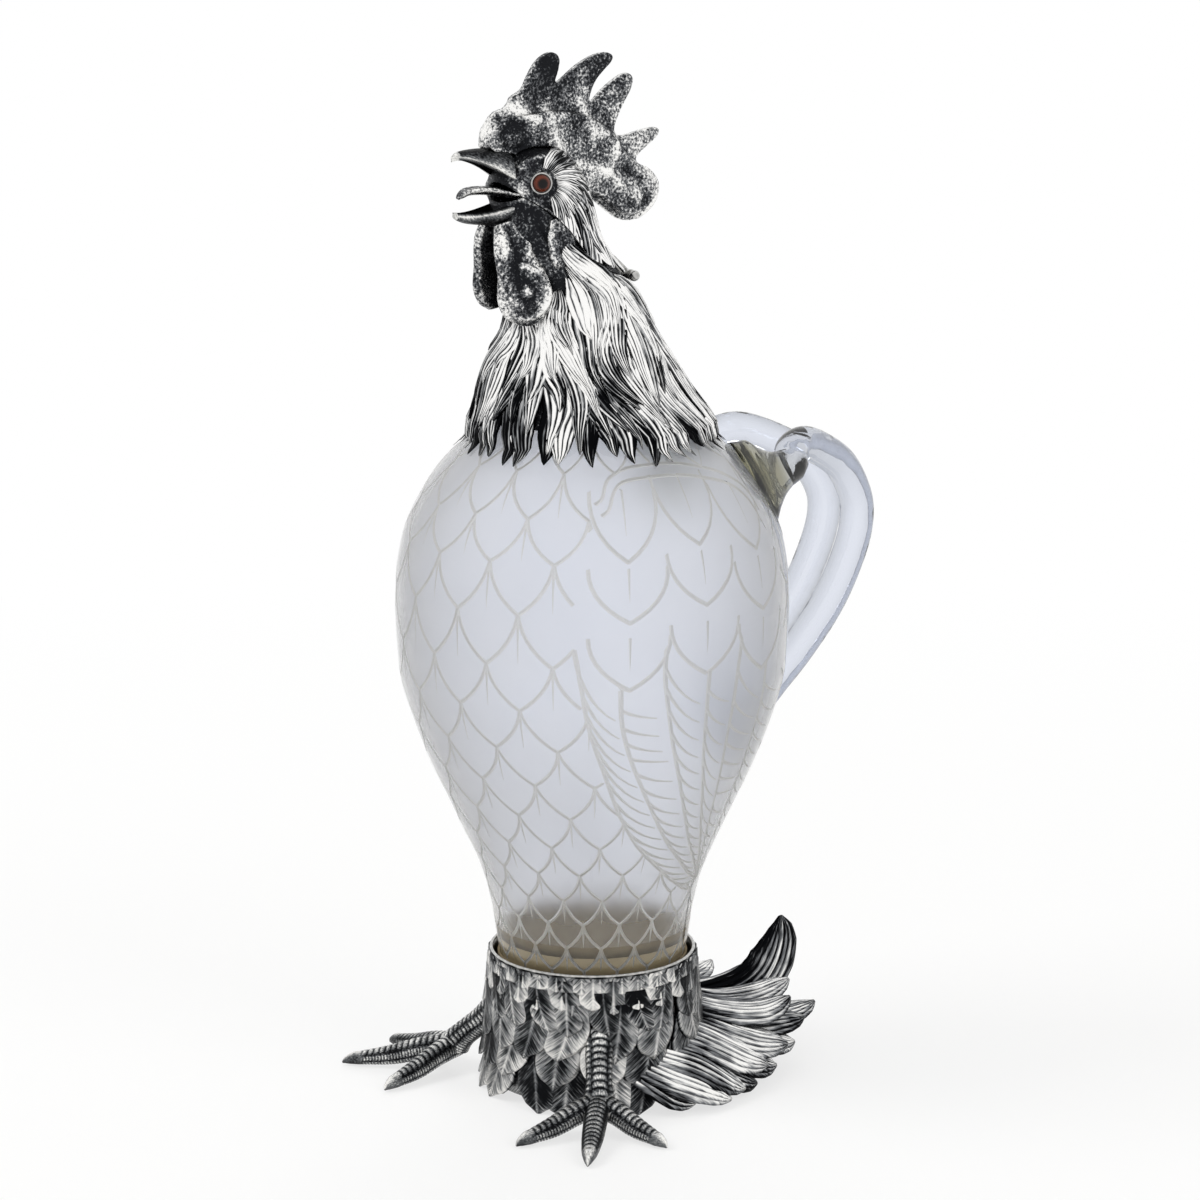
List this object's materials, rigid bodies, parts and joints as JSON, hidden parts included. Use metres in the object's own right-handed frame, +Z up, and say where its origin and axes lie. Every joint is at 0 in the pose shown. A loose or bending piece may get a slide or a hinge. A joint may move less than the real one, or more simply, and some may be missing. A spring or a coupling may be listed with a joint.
{
  "type": "rooster claret jug",
  "caption": "Rooster-shaped cut-glass claret jug with a hinged silver head, a twin-rod glass handle and a silver foot with claws and tail",
  "frame": {"origin": "on the floor, in the axis of the glass body, at the middle of the base plate's underside", "axes": "+Z up; the bird faces -Y and its left side is +X; the handle and the tail are at +Y"},
  "size_m": [0.1461, 0.1861, 0.3687],
  "materials": {
    "cut_glass": "clear blown glass with matt wheel-cut feathers",
    "drawn_glass": "clear fire-polished glass rod",
    "cast_silver": "cast and chased silver, bright on the high places and dark in the grooves",
    "oxidised_silver": "cast silver, darkened and grained",
    "amber_glass": "polished amber glass",
    "plaster": "smooth set plaster"
  },
  "bodies": {
    "jug": {"glass_body": "cut_glass", "handle_rod_left": "drawn_glass", "handle_rod_right": "drawn_glass", "handle_pad_left": "drawn_glass", "handle_pad_right": "drawn_glass", "handle_foot_pad": "drawn_glass", "neck_mane": "cast_silver", "neck_bedding": "plaster", "lower_beak": "cast_silver", "wattle_left": "oxidised_silver", "wattle_right": "oxidised_silver", "ear_lobe_left": "oxidised_silver", "ear_lobe_right": "oxidised_silver", "hinge_neck_knuckles": "cast_silver", "hinge_pin": "cast_silver", "foot_collar": "cast_silver", "collar_rim": "cast_silver", "foot_bedding": "plaster", "base_plate": "oxidised_silver", "skirt_feathers": "cast_silver", "tail_fan": "cast_silver", "tail_sickle": "cast_silver", "left_foot": "oxidised_silver", "right_foot": "oxidised_silver"},
    "head": {"head_lid": "cast_silver", "upper_beak": "cast_silver", "tongue": "oxidised_silver", "comb": "oxidised_silver", "eye_left": "amber_glass", "eye_right": "amber_glass", "eye_bezel_left": "cast_silver", "eye_bezel_right": "cast_silver", "hinge_lid_knuckles": "cast_silver"}
  },
  "joints": [
    {"name": "head_hinge", "type": "hinge", "parent": "jug", "child": "head", "pos_m": [0, 0.01146, 0.292], "axis": [-1, 0, 0], "range_deg": [0, 80]}
  ]
}
